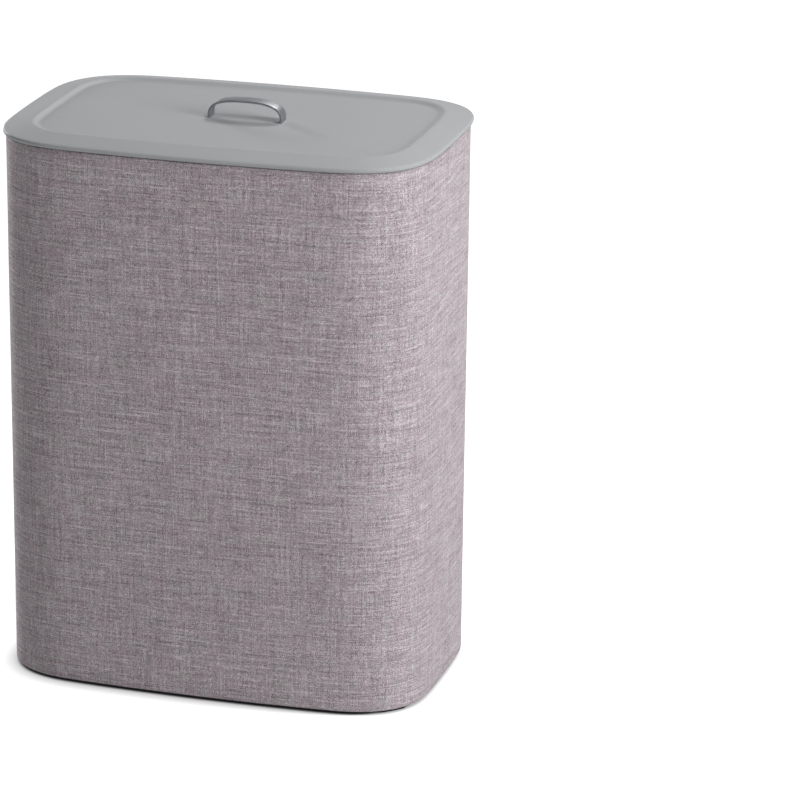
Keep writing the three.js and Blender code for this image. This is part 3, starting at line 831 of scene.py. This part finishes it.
def loop_line(offset):
    """The line of a tote handle in its own plane, offset from the middle of the strap."""
    arch_steps, foot_points, spacing = 24, 16, 2
    outer = LOOP_RISE - 2.0
    radius = outer - LOOP_STRAP / 2 + offset
    foot_x = LOOP_HALF_WIDTH - LOOP_STRAP / 2 + offset
    flat = LOOP_HALF_WIDTH - outer
    foot_levels = [-LOOP_SEWN - 2.0 + spacing * k for k in range(foot_points)]
    points = [(-foot_x, z) for z in foot_levels]
    for k in range(arch_steps + 1):
        angle = math.pi * (1 - k / arch_steps)
        c, s = math.cos(angle), math.sin(angle)
        points.append((math.copysign(flat, c) + radius * c, radius * s))
    return points + [(foot_x, z) for z in reversed(foot_levels)]


def box_and_cross():
    """The lines of thread that hold one foot of a tote handle, about the foot's middle."""
    reach, low, high = LOOP_STRAP / 2 - 3.0, -LOOP_SEWN + 1.0, -LOOP_SEWN + 17.0
    return (
        ((-reach, low), (reach, low)),
        ((-reach, high), (reach, high)),
        ((-reach, low), (reach, high)),
        ((reach, low), (-reach, high)),
    )


def tote_handle(name, side, facing):
    """A strap sewn inside the bag's wall at both ends, leaning in over the mouth."""
    plan = tote_plan(side)
    middle_x = (plan[0] + plan[1]) / 2
    springing = HOOP_LEVEL + HOOP_RADIUS + 1.6 + 2.0
    wall = plan[2] - TOTE_WALL_INSET - TOTE_CLOTH - LOOP_GAP

    def put(x, z, depth):
        """A point of the strap's own plane, at a depth into the strap from the wall's side."""
        inwards = depth + LOOP_LEAN * max(0.0, z)
        bowed = bow(middle_x + x, facing * (wall - inwards))
        return Vector(tapered((bowed[0], bowed[1], springing + z)))

    centre = loop_line(0.0)
    stations = []
    for i, (x, z) in enumerate(centre):
        before, after = centre[max(i - 1, 0)], centre[min(i + 1, len(centre) - 1)]
        along = (put(*after, 0.0) - put(*before, 0.0)).normalized()
        normal = (put(x, z, LOOP_THICKNESS) - put(x, z, 0.0)).normalized()
        across = along.cross(normal).normalized()
        normal = across.cross(along).normalized()
        stations.append((put(x, z, LOOP_THICKNESS / 2), across, normal))
    strap = ribbon(f"{name}_strap", stations, LOOP_STRAP, LOOP_THICKNESS - 0.3, 0.9)
    place_piece(strap, "hamper", "webbing", f"{name}_handle")

    selvedge = LOOP_STRAP / 2 - 2.0
    lines = [
        [put(x, z, LOOP_THICKNESS) for x, z in loop_line(offset)]
        for offset in (-selvedge, selvedge)
    ]
    steps = 6
    for foot in (LOOP_STRAP / 2 - LOOP_HALF_WIDTH, LOOP_HALF_WIDTH - LOOP_STRAP / 2):
        for (x0, z0), (x1, z1) in box_and_cross():
            line = [
                (foot + x0 + (x1 - x0) * t / steps, z0 + (z1 - z0) * t / steps)
                for t in range(steps + 1)
            ]
            lines.append([put(x, z, LOOP_THICKNESS) for x, z in line])
    inwards = Vector((0, -facing, 0))
    sewn = stitches(f"{name}_stitches", lines, lambda point: inwards, 2.4, 3.4, 0.28)
    place_piece(sewn, "hamper", "webbing", look=PALE_THREAD)


# ---- Lid ----


def border_height(inset):
    """Height of the lid's sloping border above the fabric's top edge."""
    run = (inset + SHOULDER_OUTSIDE) / (CREST_INSET + SHOULDER_OUTSIDE)
    return SHOULDER_HEIGHT + (LID_CREST - SHOULDER_HEIGHT) * run


def lid_profile():
    """From the middle of the underside out to the lip, and back over the top to the middle.

    Each point is its inset, its level and the radius of its corner."""
    z = FABRIC_TOP
    flat, crest, wall = LID_CREST - RECESS_DEPTH, LID_CREST, LID_WALL
    skirt_in = SKIRT_INSET + SKIRT_WALL
    under = [
        (RECESS_INSET + 1, z + flat - wall),
        (RECESS_INSET - 3, z + flat - wall + 0.6, 2.0),
        (CREST_INSET + 1, z + crest - wall - 0.4, 2.0),
        (CREST_INSET - 4, z + border_height(CREST_INSET - 4) - wall, 2.0),
        (skirt_in, z + border_height(skirt_in) - wall, 1.2),
        (skirt_in, z - SKIRT_DEPTH, 0.7),
        (SKIRT_INSET, z - SKIRT_DEPTH, 0.7),
        (SKIRT_INSET, z + border_height(SKIRT_INSET) - wall, 1.2),
        (1.0, z + border_height(1.0) - wall, 0.8),
        (-0.6, z + LIP_HEIGHT - 0.6, 0.8),
        (-0.2, z + LIP_HEIGHT - 1.5, 0.5),
        (LIP_INSIDE, z + LIP_BOTTOM + 0.5, 0.4),
    ]
    lip = [
        (LIP_INSIDE - 1.5, z + LIP_BOTTOM, 0.6),
        (-LIP_OUTSIDE + 1.4, z + LIP_BOTTOM + 0.5, 0.8),
        (-LIP_OUTSIDE + 0.3, z + LIP_BOTTOM + 1.8, 0.9),
        (-LIP_OUTSIDE, z + LIP_HEIGHT, 0.8),
        (-LIP_OUTSIDE + 0.6, z + LIP_HEIGHT + 1.3, 0.9),
        (-SHOULDER_OUTSIDE, z + SHOULDER_HEIGHT, 2.6),
    ]
    top = [
        (CREST_INSET - 5, z + border_height(CREST_INSET - 5)),
        (CREST_INSET, z + crest, 2.2),
        (CREST_INSET + 2.5, z + crest - 0.9, 1.4),
        (RECESS_INSET - 2.5, z + flat + 0.6, 2.2),
        (RECESS_INSET, z + flat, 2.0),
        (RECESS_INSET + 6, z + flat),
    ]
    return rounded(under + lip + top, 4)


def screw_boss(centre_x):
    """A ring with its pilot hole, standing down from the lid's underside."""
    around, seat = 24, 0.02
    high = LID_FLAT - LID_WALL - seat
    low = LID_FLAT - LID_WALL - BOSS_DEPTH
    ring, hole = [], []
    for k in range(around):
        c, s = math.cos(2 * math.pi * k / around), math.sin(2 * math.pi * k / around)
        ring.append((centre_x + BOSS_RADIUS * c, BOSS_RADIUS * s))
        hole.append((centre_x + PILOT_RADIUS * c, PILOT_RADIUS * s))
    layers = [(hole, high), (hole, low), (ring, low), (ring, high)]
    vertices = [(x, y, z) for points, z in layers for x, y in points]
    faces = []
    for layer in range(len(layers)):
        here, ahead = layer * around, (layer + 1) % len(layers) * around
        for k in range(around):
            after = (k + 1) % around
            faces.append((here + k, here + after, ahead + after, ahead + k))
    return facing_out(new_object("boss", vertices, faces))


def moulded_lid():
    """The lid's moulding with the screw bosses under its middle."""
    shell = loft("lid_moulding", WHOLE, lid_profile(), False, taper=False, sharp=40.0)
    bosses = [screw_boss(HANDLE_X - BOSS_X), screw_boss(HANDLE_X + BOSS_X)]
    lid = joined("lid_moulding", [shell] + bosses)
    place_piece(lid, "lid", "grey_plastic", "lid_shell")


def strap_path():
    """The strap's middle line: tab, bend, leg and arch, and the same in reverse."""
    springing = LID_FLAT + STRAP_SPRINGING
    half = STRAP_SPAN / 2 - STRAP_THICKNESS / 2
    height = HANDLE_TOP - STRAP_THICKNESS / 2 - springing
    tab_level = TAB_UNDER + STRAP_THICKNESS / 2
    bend, arch_steps = 2.0, 64
    tab = [(-STRAP_SPAN / 2 + STRAP_TAB, tab_level), (-half + bend, tab_level)]
    for eighths in (1, 2, 3, 4):
        angle = eighths * math.pi / 8
        x = -half + bend - bend * math.sin(angle)
        tab.append((x, tab_level + bend - bend * math.cos(angle)))
    tab.append((-half, LID_FLAT))
    arch = []
    for i in range(arch_steps + 1):
        angle = math.pi * (1 - i / arch_steps)
        c, s = math.cos(angle), max(math.sin(angle), 0.0)
        x = half * math.copysign(abs(c) ** (2 / STRAP_FULLNESS), c)
        arch.append((x, springing + height * s ** (2 / STRAP_FULLNESS)))
    return tab + arch + [(-x, z) for x, z in reversed(tab)]


def handle_strap():
    """A flat strap bent into an arch, its ends turned in under the lid."""
    path = strap_path()
    across = Vector((0.0, 1.0, 0.0))
    stations = []
    for i, (x, z) in enumerate(path):
        before, after = path[max(i - 1, 0)], path[min(i + 1, len(path) - 1)]
        along = Vector((after[0] - before[0], 0.0, after[1] - before[1])).normalized()
        stations.append((Vector((HANDLE_X + x, 0.0, z)), across, across.cross(along)))
    strap = ribbon("lid_handle_satin", stations, STRAP_WIDTH, STRAP_THICKNESS, 0.35)
    place_piece(strap, "lid", "satin_steel", "lid_handle_strap")


# ---- Stage ----


def dress_cad_nodes():
    """Gives every CAD node that stays its procedural material."""
    slots = {s["node"]: s["material_slot"] for s in frame["record"]["subparts"]}
    for name, obj in frame["nodes"].items():
        look = LOOKS[slots[name]]
        obj.data.materials.clear()
        obj.data.materials.append(look)


def link(name, data):
    """A new object in the scene."""
    obj = bpy.data.objects.new(name, data)
    bpy.context.scene.collection.objects.link(obj)
    return obj


def pale_floor():
    """The floor, a wide flat sheet at level 0."""
    size = 40.0
    corners = [(-size, -size, 0), (size, -size, 0), (size, size, 0), (-size, size, 0)]
    mesh = bpy.data.meshes.new("floor")
    mesh.from_pydata(corners, [], [(0, 1, 2, 3)])
    mesh.materials.append(studio_white())
    floor = link("floor", mesh)
    return floor


def surroundings():
    """A white backdrop that hardly lights the object, and is dim in its reflections."""
    world = bpy.data.worlds.new("studio")
    bpy.context.scene.world = world
    world.use_nodes = True
    tree = world.node_tree
    background = tree.nodes["Background"]
    background.inputs["Strength"].default_value = 0.02
    background.inputs["Color"].default_value = (0.98, 0.99, 1.0, 1.0)
    path = tree.nodes.new("ShaderNodeLightPath")
    surface = background.outputs[0]
    for ray, strength in (("Is Glossy Ray", 0.18), ("Is Camera Ray", 1.0)):
        seen = tree.nodes.new("ShaderNodeBackground")
        seen.inputs["Color"].default_value = grey(1.0)
        seen.inputs["Strength"].default_value = strength
        choose = tree.nodes.new("ShaderNodeMixShader")
        tree.links.new(path.outputs[ray], choose.inputs[0])
        tree.links.new(surface, choose.inputs[1])
        tree.links.new(seen.outputs[0], choose.inputs[2])
        surface = choose.outputs[0]
    tree.links.new(surface, tree.nodes["World Output"].inputs["Surface"])


def soft_lights(floor):
    """Round soft lamps: one from the right for the floor alone, and the others for the rest."""
    off_floor = bpy.data.collections.new("off_floor")
    off_floor.objects.link(floor)
    off_floor.collection_objects[0].light_linking.link_state = "EXCLUDE"
    only_floor = bpy.data.collections.new("only_floor")
    only_floor.objects.link(floor)
    middle = Vector((0.0, 0.0, 0.3))
    for name, place, across, watts, receivers in (
        ("floor_right", (3.0, 0.5, 0.75), 0.8, 165.0, only_floor),
        ("key_right", (2.8, -1.0, 1.4), 1.2, 64.0, off_floor),
        ("high_right", (1.6, -0.6, 3.2), 1.2, 40.0, off_floor),
        ("high_front_right", (2.0, -1.6, 2.6), 1.2, 9.0, off_floor),
        ("back_top", (0.45, 1.75, 2.5), 0.9, 35.0, off_floor),
        ("low_left", (-3.0, 0.3, 0.95), 0.8, 8.0, off_floor),
        ("low_back_left", (-2.2, 1.8, 0.95), 0.8, 58.0, off_floor),
    ):
        light = bpy.data.lights.new(name, "AREA")
        light.shape = "DISK"
        light.size = across
        light.energy = watts
        lamp = link(name, light)
        lamp.location = place
        lamp.rotation_mode = "QUATERNION"
        lamp.rotation_quaternion = (middle - Vector(place)).to_track_quat("-Z", "Y")
        lamp.light_linking.receiver_collection = receivers


def camera():
    """A long lens in front of the hamper, a little to the right and above."""
    azimuth, elevation = math.radians(17.877), math.radians(18.194)
    heights_away = 8.166
    back = Vector(
        (
            math.sin(azimuth) * math.cos(elevation),
            -math.cos(azimuth) * math.cos(elevation),
            math.sin(elevation),
        )
    )
    tall = (FABRIC_TOP - FABRIC_BOTTOM) * MM
    look_at = Vector((0.0, 0.0, FABRIC_BOTTOM * MM + tall / 2))
    lens = bpy.data.cameras.new("camera")
    lens.sensor_width = 36.0
    lens.lens = 202.37
    lens.shift_x = 0.2006
    lens.shift_y = -0.0097
    lens.clip_end = 200.0
    seat = link("camera", lens)
    seat.location = look_at + back * (heights_away * tall)
    seat.rotation_mode = "QUATERNION"
    seat.rotation_quaternion = (-back).to_track_quat("-Z", "Y")
    bpy.context.scene.camera = seat
    bpy.context.scene.view_settings.view_transform = "Standard"


dress_cad_nodes()
woven_cover()
cover_seam()
rim_moulding()
for tote, side_of, cloth_slot, sewing in (
    ("light_tote", -1, "light_cloth", DARK_THREAD),
    ("dark_tote", 1, "dark_cloth", PALE_THREAD),
):
    tote_bag(tote, side_of, cloth_slot, sewing)
    for end_name, facing_way in (("front", -1), ("back", 1)):
        tote_handle(f"{tote}_{end_name}", side_of, facing_way)
moulded_lid()
handle_strap()
surroundings()
soft_lights(pale_floor())
camera()
